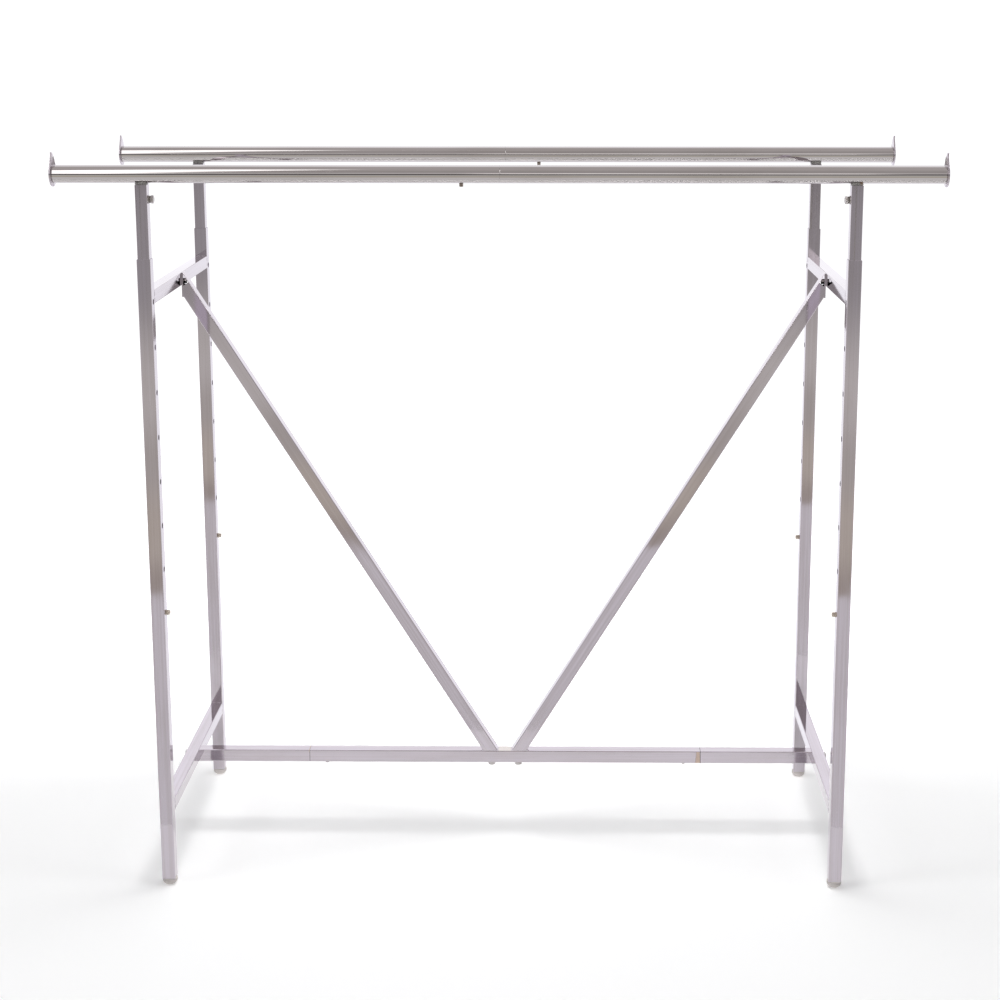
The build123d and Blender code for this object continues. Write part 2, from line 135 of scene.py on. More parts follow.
class Graph:
    """A node tree that is being wired."""

    def __init__(self, tree: bpy.types.NodeTree) -> None:
        """Empty the tree."""
        self.tree = tree
        tree.nodes.clear()

    def node(self, kind: str, settings: dict | None = None, sockets: dict | None = None) -> bpy.types.Node:
        """Add a node.

        Args:
            kind: the node's type name.
            settings: its properties, which are set first.
            sockets: a number, colour, Value or socket for each input, by name or number.

        Returns:
            The new node.
        """
        made = self.tree.nodes.new(kind)
        for name, setting in (settings or {}).items():
            setattr(made, name, setting)
        for name, given in (sockets or {}).items():
            given = given.socket if isinstance(given, Value) else given
            if isinstance(given, bpy.types.NodeSocket):
                self.tree.links.new(given, made.inputs[name])
            else:
                made.inputs[name].default_value = given
        return made

    def value(self, node: bpy.types.Node, output: str | int = 0) -> Value:
        """Wrap one output of a node."""
        return Value(self, node.outputs[output])

    def maths(self, operation: str, *terms: Value | float) -> Value:
        """Add a Math node on one to three terms."""
        return self.value(self.node("ShaderNodeMath", {"operation": operation}, dict(enumerate(terms))))

    def place(self, scale: Sequence[float], lean: float = 0.0) -> bpy.types.NodeSocket:
        """Object coordinates, turned about Y and then scaled.

        Args:
            scale: cycles a metre along each axis.
            lean: the turn about Y, in radians, that brings a leaning tube onto X.

        Returns:
            The vector socket.
        """
        here = self.node("ShaderNodeTexCoord").outputs["Object"]
        turned = self.node("ShaderNodeMapping", {"vector_type": "POINT"}, {"Vector": here, "Rotation": (0, lean, 0)})
        stretched = self.node("ShaderNodeMapping", {"vector_type": "POINT"}, {
            "Vector": turned.outputs[0], "Scale": tuple(scale)})
        return stretched.outputs[0]

    def split(self, vector: bpy.types.NodeSocket) -> tuple[Value, Value, Value]:
        """The three parts of a vector."""
        parts = self.node("ShaderNodeSeparateXYZ", None, {"Vector": vector})
        return self.value(parts, 0), self.value(parts, 1), self.value(parts, 2)

    def noise(self, vector: bpy.types.NodeSocket, scale: float = 1.0, detail: float = 2.0,
              rough: float = 0.5) -> Value:
        """Noise from about 0.2 to 0.8.

        Args:
            vector: where it is read.
            scale: cycles for each unit of the vector.
            detail: octaves of finer noise.
            rough: how strong the finer noise is.

        Returns:
            The noise.
        """
        sockets = {"Vector": vector, "Scale": scale, "Detail": detail, "Roughness": rough}
        return self.value(self.node("ShaderNodeTexNoise", None, sockets), "Fac")

    def specks(self, vector: bpy.types.NodeSocket, size: float) -> Value:
        """Round dots of 1 on 0, scattered over the cells of the vector."""
        cells = self.node("ShaderNodeTexVoronoi", {"feature": "F1"}, {"Vector": vector, "Scale": 1.0})
        return self.value(cells, "Distance").ramp(size, 0.6 * size)

    def mix(self, amount: Value | float, first: "Colour | bpy.types.NodeSocket",
            second: "Colour | bpy.types.NodeSocket") -> bpy.types.NodeSocket:
        """Blend two colours.

        Args:
            amount: 0 for the first colour, 1 for the second.
            first: a colour or a colour socket.
            second: a colour or a colour socket.

        Returns:
            The blended colour's socket.
        """
        def paint(given: "Colour | bpy.types.NodeSocket") -> object:
            """A plain colour gets its alpha."""
            return (*given, 1.0) if isinstance(given, tuple) else given

        sockets = {0: amount, 6: paint(first), 7: paint(second)}
        return self.node("ShaderNodeMix", {"data_type": "RGBA"}, sockets).outputs[2]

    def bump(self, height: Value, distance: float, strength: float = 1.0) -> bpy.types.NodeSocket:
        """A normal from a height of 0 to 1 that stands for a real distance in metres."""
        sockets = {"Height": height, "Distance": distance, "Strength": strength}
        return self.node("ShaderNodeBump", None, sockets).outputs[0]

    def surface(self, sockets: dict) -> None:
        """End the tree in one Principled surface with these inputs."""
        shader = self.node("ShaderNodeBsdfPrincipled", None, sockets)
        self.node("ShaderNodeOutputMaterial", None, {"Surface": shader.outputs[0]})


# ---- finishes ----
class Run(Enum):
    """The way that a tube was drawn, as the turn that brings it onto X and the axis scales."""

    ALONG_X = (1.0, 0.0, 0.0)
    ALONG_Y = (0.0, 1.0, 0.0)
    ALONG_Z = (0.0, 0.0, 1.0)

    def stretched(self, along: float, across: float) -> tuple[float, float, float]:
        """Scales that draw a pattern out along the tube."""
        return tuple(along if part else across for part in self.value)


@dataclass(frozen=True)
class Rub:
    """A band of other colour across a tube that lies along X, such as a rub or stain in the plating, or a tinted
    patch.
    """

    x: float
    half_width: float
    tint: Colour
    strength: float
    heights: tuple[float, float] = (0.0, 1.0)
    taper: float = 0.0
    ragged: float = 0.5


@dataclass(frozen=True)
class Plating:
    """Bright chrome plate: a cool mirror with faint draw lines, wiping marks, specks and rubs."""

    name: str
    run: Run = Run.ALONG_Z
    lean: float = 0.0
    tint: Colour = (0.560, 0.514, 0.562)
    dull: Colour = (0.45, 0.405, 0.42)
    rough: float = 0.045
    haze: float = 0.07
    scratch: float = 0.16
    ripple: float = 0.00006
    streak: float = 0.35
    wear: float = 0.0
    rubs: tuple[Rub, ...] = ()

    def material(self) -> bpy.types.Material:
        """Wire the finish.

        Returns:
            The material, ready for a slot.
        """
        made = bpy.data.materials.new(self.name)
        made.use_nodes = True
        g = Graph(made.node_tree)
        wiped = g.noise(g.place(self.run.stretched(4, 14), self.lean), 1, 4, 0.6).ramp(0.42, 0.72)
        lines = g.noise(g.place(self.run.stretched(5, 700), self.lean), 1, 2, 0.5)
        hair = g.noise(g.place(self.run.stretched(26, 1500), self.lean + 0.12), 1, 1, 0.5).ramp(0.66, 0.74)
        patchy = g.noise(g.place((3, 3, 3)), 1, 3, 0.6).ramp(0.45, 0.7)
        dots = g.specks(g.place((140, 140, 140)), 0.075) * g.noise(g.place((9, 9, 9))).ramp(0.5, 0.6)
        rough = wiped * self.haze + hair * self.scratch * patchy + dots * 0.25 + self.rough
        streaks = g.noise(g.place(self.run.stretched(2.5, 210), self.lean), 1, 3, 0.65).ramp(0.34, 0.66)
        colour = g.mix(wiped * 0.30 + dots * 0.5 + streaks * self.streak, self.tint, self.dull)
        if self.wear:
            slid = g.noise(g.place(self.run.stretched(1.5, 420)), 1, 2, 0.6).ramp(0.5, 0.72) * self.wear
            rough = rough + slid * 0.22
            colour = g.mix(slid * 0.6, colour, (0.40, 0.37, 0.34))
        for rub in self.rubs:
            colour, rough = self._rubbed(g, rub, colour, rough)
        waves = g.noise(g.place(self.run.stretched(7, 24), self.lean), 1, 1, 0.4)
        normal = g.bump(waves + lines * 0.02, self.ripple * 4)
        g.surface({"Base Color": colour, "Metallic": 1.0, "Roughness": rough, "Normal": normal})
        return made

    def _rubbed(self, g: Graph, rub: Rub, colour: bpy.types.NodeSocket,
                rough: Value) -> tuple[bpy.types.NodeSocket, Value]:
        """Lay one rub over the plate.

        Args:
            g: the material's graph.
            rub: where it is, and its stain.
            colour: the plate's colour so far.
            rough: the plate's roughness so far.

        Returns:
            The new colour and roughness.
        """
        x, y, z = g.split(g.place((1, 1, 1)))
        uneven = g.noise(g.place((60, 260, 260)), 1, 3, 0.7)
        reach = abs(x - rub.x) + (uneven - 0.5) * (2 * rub.ragged * rub.half_width) + (z - 0.1582) * rub.taper
        stain = reach.ramp(rub.half_width * 1.1, rub.half_width * 0.75) * rub.strength
        stain = stain * (z > rub.heights[0]) * (z < rub.heights[1])
        return g.mix(stain, colour, rub.tint), rough + stain * 0.2


@dataclass(frozen=True)
class Zinc:
    """Zinc plate on small hardware: a soft bright metal with a mottled passivated bloom."""

    name: str
    tint: Colour = (0.52, 0.49, 0.49)
    bloom: Colour = (0.40, 0.37, 0.34)
    rough: float = 0.22

    def material(self) -> bpy.types.Material:
        """Wire the finish and return the material."""
        made = bpy.data.materials.new(self.name)
        made.use_nodes = True
        g = Graph(made.node_tree)
        mottle = g.noise(g.place((260, 260, 260)), 1, 4, 0.65).ramp(0.4, 0.65)
        grain = g.noise(g.place((2600, 2600, 2600)), 1, 1, 0.5)
        spot = g.specks(g.place((700, 700, 700)), 0.16)
        colour = g.mix(spot * 0.5, g.mix(mottle * 0.7, self.tint, self.bloom), (0.28, 0.25, 0.21))
        rough = mottle * 0.14 + spot * 0.2 + self.rough
        g.surface({"Base Color": colour, "Metallic": 1.0, "Roughness": rough,
                   "Normal": g.bump(grain + mottle * 0.5, 0.00002)})
        return made


@dataclass(frozen=True)
class Nickel:
    """Nickel on the snap buttons, warm and worn bright on the dome."""

    name: str
    tint: Colour = (0.50, 0.44, 0.38)
    worn: Colour = (0.66, 0.60, 0.53)

    def material(self) -> bpy.types.Material:
        """Wire the finish and return the material."""
        made = bpy.data.materials.new(self.name)
        made.use_nodes = True
        g = Graph(made.node_tree)
        x, y, z = g.split(g.place((1, 1, 1)))
        dome = (0.6295 - abs(x)).ramp(0.0, 0.0032)
        rings = g.noise(g.place((2400, 60, 60)), 1, 2, 0.5)
        stain = g.noise(g.place((320, 320, 320)), 1, 3, 0.6).ramp(0.42, 0.66)
        colour = g.mix(dome * 0.8, g.mix(stain * 0.6, self.tint, (0.36, 0.29, 0.22)), self.worn)
        rough = stain * 0.16 + (1 - dome) * 0.08 + 0.14
        g.surface({"Base Color": colour, "Metallic": 1.0, "Roughness": rough,
                   "Normal": g.bump(rings, 0.00001)})
        return made


@dataclass(frozen=True)
class BareSteel:
    """Plain steel on the hidden parts: oily grey with mill scale and a bloom of light rust."""

    name: str
    tint: Colour = (0.36, 0.35, 0.34)
    scale: Colour = (0.19, 0.18, 0.18)
    rust: Colour = (0.30, 0.17, 0.09)
    rough: float = 0.36

    def material(self) -> bpy.types.Material:
        """Wire the finish and return the material."""
        made = bpy.data.materials.new(self.name)
        made.use_nodes = True
        g = Graph(made.node_tree)
        scaled = g.noise(g.place((70, 70, 70)), 1, 5, 0.65).ramp(0.45, 0.62)
        rusted = g.noise(g.place((34, 34, 34)), 1, 5, 0.7).ramp(0.6, 0.7)
        grain = g.noise(g.place((900, 900, 900)), 1, 2, 0.6)
        colour = g.mix(rusted * 0.7, g.mix(scaled, self.tint, self.scale), self.rust)
        g.surface({"Base Color": colour, "Metallic": 0.85, "Roughness": scaled * 0.15 + rusted * 0.3 + self.rough,
                   "Normal": g.bump(grain + scaled, 0.00003)})
        return made


@dataclass(frozen=True)
class Moulded:
    """Moulded plastic on the glides: warm pale grey, faintly mottled, scuffed, and darker in patches towards the
    bottom.
    """

    name: str
    tint: Colour = (0.74, 0.685, 0.66)
    darker_tone: Colour = (0.40, 0.36, 0.33)
    rough: float = 0.36

    def material(self) -> bpy.types.Material:
        """Wire the finish and return the material."""
        made = bpy.data.materials.new(self.name)
        made.use_nodes = True
        g = Graph(made.node_tree)
        x, y, z = g.split(g.place((1, 1, 1)))
        cloud = g.noise(g.place((90, 90, 90)), 1, 3, 0.6)
        grain = g.noise(g.place((1800, 1800, 1800)), 1, 2, 0.5)
        scuff = g.noise(g.place((240, 240, 900)), 1, 3, 0.7).ramp(0.52, 0.7)
        # darker and rougher in noisy patches towards the bottom of the glide
        low = z.ramp(0.007, 0.0) * g.noise(g.place((160, 160, 160)), 1, 4, 0.6).ramp(0.3, 0.6)
        colour = g.mix(cloud.ramp(0.35, 0.7) * 0.25, self.tint, (0.80, 0.755, 0.725))
        colour = g.mix(low * 0.75 + scuff * 0.12, colour, self.darker_tone)
        g.surface({"Base Color": colour, "Roughness": scuff * 0.2 + low * 0.25 + self.rough,
                   "Specular IOR Level": 0.5, "Normal": g.bump(grain + scuff * 0.5, 0.00003)})
        return made


class Finishes:
    """Every finish on the rack, made once and looked up by name."""

    BRACE_LEAN = math.radians(58.2)

    def __init__(self) -> None:
        """Wire each finish."""
        tan, brown, cream, dark = (0.56, 0.44, 0.37), (0.25, 0.18, 0.14), (0.70, 0.65, 0.58), (0.17, 0.15, 0.15)
        rubs = (
            Rub(0.3992, 0.0052, brown, 0.6, (0.0, 0.1698), taper=0.10, ragged=0.25),
            Rub(0.3992, 0.0042, tan, 0.9, (0.0, 0.1698), taper=0.10, ragged=0.25),
            Rub(0.4041, 0.0007, dark, 0.9, ragged=0.1),
            Rub(-0.4041, 0.0007, dark, 0.75, ragged=0.1),
            Rub(-0.4052, 0.0010, tan, 0.5, heights=(0.1660, 0.1800), ragged=0.4),
            # a pale cream patch on the top face between the brace feet, and a brown tint on the rounded top edge near
            # them
            Rub(0.0, 0.0140, cream, 0.6, heights=(0.1707, 0.1800), ragged=0.3),
            Rub(-0.004, 0.045, brown, 0.35, heights=(0.1694, 0.1707), ragged=0.9),
        )
        lean = self.BRACE_LEAN
        recipes = (
            Plating("upright_plate"),
            Plating("post_plate", wear=0.8, rough=0.06),
            Plating("crossbar_plate", Run.ALONG_Y),
            Plating("base_plate", Run.ALONG_X, rubs=rubs),
            Plating("left_brace_plate", Run.ALONG_X, lean=-lean),
            Plating("right_brace_plate", Run.ALONG_X, lean=lean),
            Plating("plate_steel_plate", Run.ALONG_Y, rough=0.09, haze=0.12),
            Plating("rail_plate", Run.ALONG_X, 0.0, (0.545, 0.515, 0.515), (0.41, 0.38, 0.365), rough=0.03,
                    haze=0.05, ripple=0.00003, streak=0.12),
            Plating("stop_plate", Run.ALONG_Y, rough=0.10, haze=0.12, ripple=0.00012),
            Plating("weld_plate", Run.ALONG_Y, rough=0.14, haze=0.15, ripple=0.0002),
            Zinc("hardware_zinc"),
            Zinc("dark_zinc", (0.33, 0.29, 0.26), (0.24, 0.19, 0.15), 0.34),
            # painted shade: the lock washers' very dark finish is dark steel that also stands in for the shade in the
            # neck between each bolt head and its washer
            Zinc("lock_washer_dark_and_shade", (0.20, 0.18, 0.17), (0.13, 0.11, 0.10), 0.30),
            Nickel("button_nickel"),
            BareSteel("bare_steel"),
            BareSteel("spring_strip", (0.26, 0.25, 0.27), (0.15, 0.14, 0.17), (0.22, 0.15, 0.10), 0.28),
            Moulded("moulded_glide"),
        )
        self.made = {recipe.name: recipe.material() for recipe in recipes}

    def __getitem__(self, name: str) -> bpy.types.Material:
        """A finish by name."""
        return self.made[name]


# ---- mesh work ----
def turn_to(sign: float, place: Sequence[float]) -> Matrix:
    """A placing that points a part made along +X towards sign times X."""
    return Matrix.Translation(place) @ Matrix.Rotation(0.0 if sign > 0 else math.pi, 4, "Z")


def stand_up(place: Sequence[float]) -> Matrix:
    """A placing that stands a part made along +X up along +Z."""
    return Matrix.Translation(place) @ Matrix.Rotation(-math.pi / 2, 4, "Y")


def hang_down(place: Sequence[float]) -> Matrix:
    """Placing that points a part's +X straight down."""
    return Matrix.Translation(place) @ Matrix.Rotation(math.pi / 2, 4, "Y")


def arc(centre: tuple[float, float], radius: tuple[float, float], start: float, end: float,
        steps: int) -> list[tuple[float, float]]:
    """Points on an elliptic arc of a profile.

    Args:
        centre: its centre, along and out.
        radius: its half-axes, along and out.
        start: the first angle in degrees, from the axis.
        end: the last angle in degrees.
        steps: how many pieces it has.

    Returns:
        The points, both ends included.
    """
    angles = (math.radians(start + (end - start) * i / steps) for i in range(steps + 1))
    return [(centre[0] + radius[0] * math.cos(a), centre[1] + radius[1] * math.sin(a)) for a in angles]


class Blank:
    """The mesh of a piece while it is being worked, in millimetres until it is finished."""

    def __init__(self) -> None:
        """Start empty."""
        self.bm = bmesh.new()

    def turned(self, profile: Profile, steps: int = 48) -> "Blank":
        """Turn a profile of (along, out) points round the X axis.

        Args:
            profile: the points. A first and last point at radius 0, or in one place, close the shape.
            steps: faces round the shape.

        Returns:
            This blank.
        """
        tip = bmesh.ops.create_vert(self.bm, co=(profile[0][0], 0, profile[0][1]))["vert"][0]
        for along, out in profile[1:]:
            tip = bmesh.ops.extrude_vert_indiv(self.bm, verts=[tip])["verts"][0]
            tip.co = (along, 0, out)
        geometry = [*self.bm.verts, *self.bm.edges]
        bmesh.ops.spin(self.bm, geom=geometry, cent=(0, 0, 0), axis=(1, 0, 0), dvec=(0, 0, 0),
                       angle=2 * math.pi, steps=steps, use_merge=True, use_duplicate=False)
        return self.closed()

    def prism(self, sides: int, flats: float, height: float) -> "Blank":
        """Raise a regular prism along +X from the origin."""
        rim = flats / 2 / math.cos(math.pi / sides)
        made = bmesh.ops.create_circle(self.bm, cap_ends=True, segments=sides, radius=rim)
        bmesh.ops.rotate(self.bm, verts=made["verts"], matrix=Matrix.Rotation(math.pi / 2, 3, "Y"))
        raised = bmesh.ops.extrude_face_region(self.bm, geom=self.bm.faces[:])["geom"]
        corners = [v for v in raised if isinstance(v, bmesh.types.BMVert)]
        bmesh.ops.translate(self.bm, verts=corners, vec=(height, 0, 0))
        return self.closed()

    def block(self, size: Sequence[float], middle: Sequence[float] = (0, 0, 0)) -> "Blank":
        """Add a rectangular block."""
        made = bmesh.ops.create_cube(self.bm, size=1.0)["verts"]
        bmesh.ops.scale(self.bm, verts=made, vec=size)
        bmesh.ops.translate(self.bm, verts=made, vec=middle)
        return self

    def eased(self, offset: float, segments: int = 2,
              chosen: Callable[[bmesh.types.BMEdge], bool] | None = None) -> "Blank":
        """Bevel edges.

        Args:
            offset: how far back each edge is taken.
            segments: faces across each bevel.
            chosen: which edges; without it, those that turn by more than 30 degrees.

        Returns:
            This blank.
        """
        pick = chosen or (lambda edge: edge.is_manifold and edge.calc_face_angle(0) > math.radians(30))
        edges = [edge for edge in self.bm.edges if pick(edge)]
        bmesh.ops.bevel(self.bm, geom=edges, offset=offset, offset_type="OFFSET", segments=segments,
                        profile=0.5, affect="EDGES", clamp_overlap=True, material=-1)
        return self

    def cut(self, heights: Iterable[float]) -> "Blank":
        """Cut the faces across Z at these heights, for a later bend."""
        for height in heights:
            geometry = [*self.bm.verts, *self.bm.edges, *self.bm.faces]
            bmesh.ops.bisect_plane(self.bm, geom=geometry, dist=1e-5, plane_co=(0, 0, height), plane_no=(0, 0, 1))
        return self

    def moved(self, shift: Callable[[Vector], Vector]) -> "Blank":
        """Move every vertex by a rule."""
        for vertex in self.bm.verts:
            vertex.co = shift(vertex.co)
        return self

    def closed(self) -> "Blank":
        """Merge doubles at seams and poles, then turn every face outwards."""
        bmesh.ops.remove_doubles(self.bm, verts=self.bm.verts[:], dist=1e-4)
        bmesh.ops.recalc_face_normals(self.bm, faces=self.bm.faces[:])
        return self

    def joined(self, other: "Blank", place: Matrix = Matrix()) -> "Blank":
        """Add another blank at a place, and free it.

        Args:
            other: the blank to take in.
            place: where it goes.

        Returns:
            This blank.
        """
        other.bm.transform(place)
        carried = bpy.data.meshes.new("carried")
        other.bm.to_mesh(carried)
        other.bm.free()
        self.bm.from_mesh(carried)
        bpy.data.meshes.remove(carried)
        return self

    def finished(self, piece: "Piece", finish: bpy.types.Material) -> bpy.types.Object:
        """Turn the blank into an object that rides on its body.

        Args:
            piece: what the piece is called, rides on and replaces.
            finish: its material.

        Returns:
            The object.
        """
        self.bm.transform(Matrix.Scale(MM, 4))
        mesh = bpy.data.meshes.new(piece.name)
        self.bm.to_mesh(mesh)
        self.bm.free()
        mesh.materials.append(finish)
        mesh.shade_smooth()
        mesh.set_sharp_from_angle(angle=math.radians(piece.crease))
        made = bpy.data.objects.new(piece.name, mesh)
        bpy.context.scene.collection.objects.link(made)
        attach(made, piece.body)
        if piece.nodes:
            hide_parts(*piece.nodes)
        LOG.info("%s: %d faces on %s", piece.name, len(mesh.polygons), piece.body)
        return made


@dataclass(frozen=True)
class Piece:
    """What the frame needs to know about a piece."""

    name: str
    body: str
    slot: str
    nodes: tuple[str, ...] = ()
    crease: float = 35.0


# ---- hardware ----
@dataclass(frozen=True)
class Thread:
    """A bolt's shank, plain and then threaded, along +X from the origin."""

    diameter: float
    length: float
    pitch: float
    threaded: float

    def blank(self) -> Blank:
        """Turn the shank.

        Returns:
            The blank, closed at its tip and open where the head covers it.
        """
        crest, root = self.diameter / 2, self.diameter / 2 - 0.6 * self.pitch
        start = self.length - self.threaded
        points = [(-0.2, 0.0), (-0.2, crest), (start, crest)]
        turns = int(self.threaded / self.pitch) - 1
        for turn in range(turns):
            at = start + turn * self.pitch
            points += [(at + 0.45 * self.pitch, root), (at + 0.55 * self.pitch, root), (at + 0.95 * self.pitch, crest)]
        points += [(self.length - 0.4 * self.pitch, root), (self.length, root * 0.8), (self.length, 0.0)]
        return Blank().turned(points, 24)


@dataclass(frozen=True)
class HexBolt:
    """A hexagon-head bolt that points along +X, with the underside of its head at the origin."""

    thread: Thread
    flats: float
    head: float

    def blank(self) -> Blank:
        """Forge the head, dish its top and add the shank.

        Returns:
            The blank.
        """
        head = Blank().prism(6, self.flats, self.head)
        head.moved(lambda co: Vector((-co.x, co.y, co.z))).closed()
        top = min(head.bm.faces, key=lambda face: face.calc_center_median().x)
        corners = {vertex.index for vertex in top.verts}
        head.eased(0.07 * self.flats, 2, lambda edge: all(v.co.x < 0.01 - self.head for v in edge.verts))
        top = min(head.bm.faces, key=lambda face: (round(face.calc_center_median().x, 3), -face.calc_area()))
        bmesh.ops.inset_region(head.bm, faces=[top], thickness=0.16 * self.flats, depth=0)
        bmesh.ops.inset_region(head.bm, faces=[top], thickness=0.05 * self.flats, depth=-0.03 * self.flats)
        head.eased(0.15, 1, lambda edge: all(v.co.x > -0.01 for v in edge.verts))
        return head.closed().joined(self.thread.blank())


@dataclass(frozen=True)
class CheeseScrew:
    """A cross-recessed cheese-head screw along +X, with the underside of its head at the origin."""

    thread: Thread
    diameter: float = 7.6
    head: float = 6.0
    edge: float = 1.4
    recess: float = 1.5

    def blank(self) -> Blank:
        """Turn the head, press its recess and add the shank.

        Returns:
            The blank.
        """
        rim = self.diameter / 2
        points = [(0.0, 0.0), (0.0, rim - 0.1), (-0.1, rim)]
        points += arc((self.edge - self.head, rim - self.edge), (-self.edge, self.edge), 90, 0, 6)
        points += [(-self.head, self.recess * 1.35), (-self.head, self.recess), (0.35 - self.head, self.recess * 0.8),
                   (1.5 - self.head, self.recess * 0.45), (1.7 - self.head, 0.0)]
        head = Blank().turned(points, 48)

        def lobed(co: Vector) -> Vector:
            """Pull the recess into a cross."""
            out = math.hypot(co.y, co.z)
            if co.x > 0.01 - self.head + 1.8 or out > self.recess * 1.01 or out < 1e-6 or co.x > -0.01:
                return co
            pull = 0.72 + 0.42 * max(0.0, math.cos(4 * math.atan2(co.z, co.y))) ** 0.6
            return Vector((co.x, co.y * pull, co.z * pull))

        return head.moved(lobed).closed().joined(self.thread.blank())


@dataclass(frozen=True)
class Washer:
    """A stamped washer along +X from the origin, with one rolled edge."""

    diameter: float = 16.0
    bore: float = 8.1
    height: float = 1.6

    def blank(self) -> Blank:
        """Turn the washer."""
        out, bore, top = self.diameter / 2, self.bore / 2, self.height
        points = [(0.0, bore), (0.0, out - 0.1), (0.1, out), (top - 0.4, out), (top - 0.12, out - 0.12),
                  (top, out - 0.4), (top, bore + 0.25), (top - 0.25, bore), (0.0, bore)]
        return Blank().turned(points, 64)


@dataclass(frozen=True)
class HexNut:
    """A hexagon nut along +X from the origin, eased at its far end."""

    flats: float = 13.0
    bore: float = 8.1
    height: float = 6.5

    def blank(self) -> Blank:
        """Turn the nut with a coned end, then press its sides flat.

        Returns:
            The blank.
        """
        flat, bore, top = self.flats / 2, self.bore / 2, self.height
        corner = flat / math.cos(math.radians(30))
        cone = [(top - 0.9 + 0.9 * step / 4, corner + (flat - 0.35 - corner) * step / 4) for step in range(5)]
        points = [(0.0, bore + 0.35), (0.0, flat - 0.1), (0.12, corner), *cone,
                  (top, bore + 0.5), (top - 0.45, bore), (0.35, bore), (0.0, bore + 0.35)]

        def pressed(co: Vector) -> Vector:
            """Pull a point in to the nearest flat."""
            out = math.hypot(co.y, co.z)
            turn = (math.atan2(co.z, co.y) + math.pi / 6) % (math.pi / 3) - math.pi / 6
            pull = min(1.0, flat / (out * math.cos(turn))) if out > bore + 0.6 else 1.0
            return Vector((co.x, co.y * pull, co.z * pull))

        return Blank().turned(points, 72).moved(pressed).closed()


M8_PITCH, M6_PITCH, M5_PITCH = 1.25, 1.0, 0.8


@dataclass
class Hardware:
    """Every bolt and screw that shows."""

    finishes: "Finishes"
    post_x: float
    post_y: float
    tube: float = 25.4
    clamp_z: float = 1333.5
    base_z: float = 158.2
    brace_bolt_z: float = 1148.85
    brace_foot_z: float = 172.9
    foot_bolt_x: float = 27.23
    washer: float = 1.6
    lock_washer: float = 3.0
    base_screw_x: float = 369.6
    sleeve_screw_x: float = 67.4
    bar_bottom: float = 145.5
    rail_bottom: float = 1362.8
    made: list[bpy.types.Object] = field(default_factory=list)

    def build(self) -> None:
        """Make the bolts and screws of the frame and of both rails."""
        outer = self.post_x + self.tube / 2
        long_bolt = HexBolt(Thread(8.0, 37.9, M8_PITCH, 16.0), 13.0, 5.3)
        self._pair("base_end_bolts", "frame", lambda s: (long_bolt.blank(), turn_to(-s, (s * outer, 0, self.base_z))))
        brace_bolt = HexBolt(Thread(6.0, 33.9, M6_PITCH, 14.0), 10.0, 4.0)
        self._pair("brace_top_bolts", "frame",
                   lambda s: (brace_bolt.blank(), turn_to(-s, (s * outer, 0, self.brace_bolt_z))))
        foot_bolt = HexBolt(Thread(8.0, 36.0, M8_PITCH, 18.0), 13.0, 5.3)
        self._pair("brace_foot_bolts", "frame",
                   lambda s: (foot_bolt.blank(), hang_down((s * self.foot_bolt_x, 0, self.brace_foot_z))))
        self._pair("brace_foot_nuts", "frame", self._foot_nut)
        base_screw = CheeseScrew(Thread(5.0, 6.0, M5_PITCH, 4.0))
        self._pair("base_joint_screws", "frame",
                   lambda s: (base_screw.blank(), stand_up((s * self.base_screw_x, 0, self.bar_bottom))))
        for depth, row in ((-1, "front"), (1, "rear")):
            self._clamps(depth, row)
            self._sleeve_screw(depth, row)

    def _pair(self, node: str, body: str, make: Callable[[int], tuple[Blank, Matrix]]) -> None:
        """Make a left and a right part as one piece in place of a CAD node.

        Args:
            node: the CAD node.
            body: the body it rides on.
            make: gives the blank and its placing for one side.
        """
        pair = Blank()
        for side in (-1, 1):
            part, place = make(side)
            pair.joined(part, place)
        piece = Piece(f"{node}.shaped", body, "fastener_zinc", (node,))
        self.made.append(pair.finished(piece, self.finishes["hardware_zinc"]))

    def _foot_nut(self, side: int) -> tuple[Blank, Matrix]:
        """The washer and nut below the base rail, and their placing."""
        nut = Matrix.Translation((self.washer, 0, 0)) @ Matrix.Rotation(0.22 * side, 4, "X")
        stack = Washer().blank().joined(HexNut().blank(), nut)
        return stack, hang_down((side * self.foot_bolt_x, 0, self.bar_bottom))

    def _clamps(self, depth: int, row: str) -> None:
        """The bolts and washers that hold one rail's spigots in its posts."""
        stack, face = self.washer + self.lock_washer, self.post_x - 11.1
        bolt = HexBolt(Thread(8.0, 9.9 + stack, M8_PITCH, 9.0), 13.0, 5.3)
        pair, springs = Blank(), Blank()
        for side in (-1, 1):
            def at(out: float) -> tuple[float, float, float]:
                """A place on the bolt's line, so far out from the post."""
                return (side * (face - out), depth * self.post_y, self.clamp_z)

            turned = Matrix.Rotation(0.35 * side + 0.2 * depth, 4, "X")
            pair.joined(bolt.blank(), turn_to(side, at(stack)) @ turned)
            pair.joined(Washer().blank(), turn_to(-side, at(0.0)))
            springs.joined(Washer(13.0, 8.1, self.lock_washer).blank(), turn_to(-side, at(self.washer)))
        node = f"{row}_clamp_bolts"
        piece = Piece(f"{node}.shaped", f"{row}_rail", "fastener_zinc", (node,))
        self.made.append(pair.finished(piece, self.finishes["hardware_zinc"]))
        piece = Piece(f"{row}_lock_washers", f"{row}_rail", "fastener_zinc", ())
        # painted shade: this very dark finish stands in for the shade in the neck under the bolt heads, as well as the
        # washers' own dark steel
        self.made.append(springs.finished(piece, self.finishes["lock_washer_dark_and_shade"]))

    def _sleeve_screw(self, depth: int, row: str) -> None:
        """The screw that comes up through one rail into its sleeve."""
        node = f"{row}_rail_sleeve_screw"
        place = stand_up((depth * self.sleeve_screw_x, depth * self.post_y, self.rail_bottom))
        screw = Blank().joined(CheeseScrew(Thread(5.0, 6.2, M5_PITCH, 4.0)).blank(), place)
        piece = Piece(f"{node}.shaped", f"{row}_rail", "fastener_zinc", (node,))
        self.made.append(screw.finished(piece, self.finishes["dark_zinc"]))


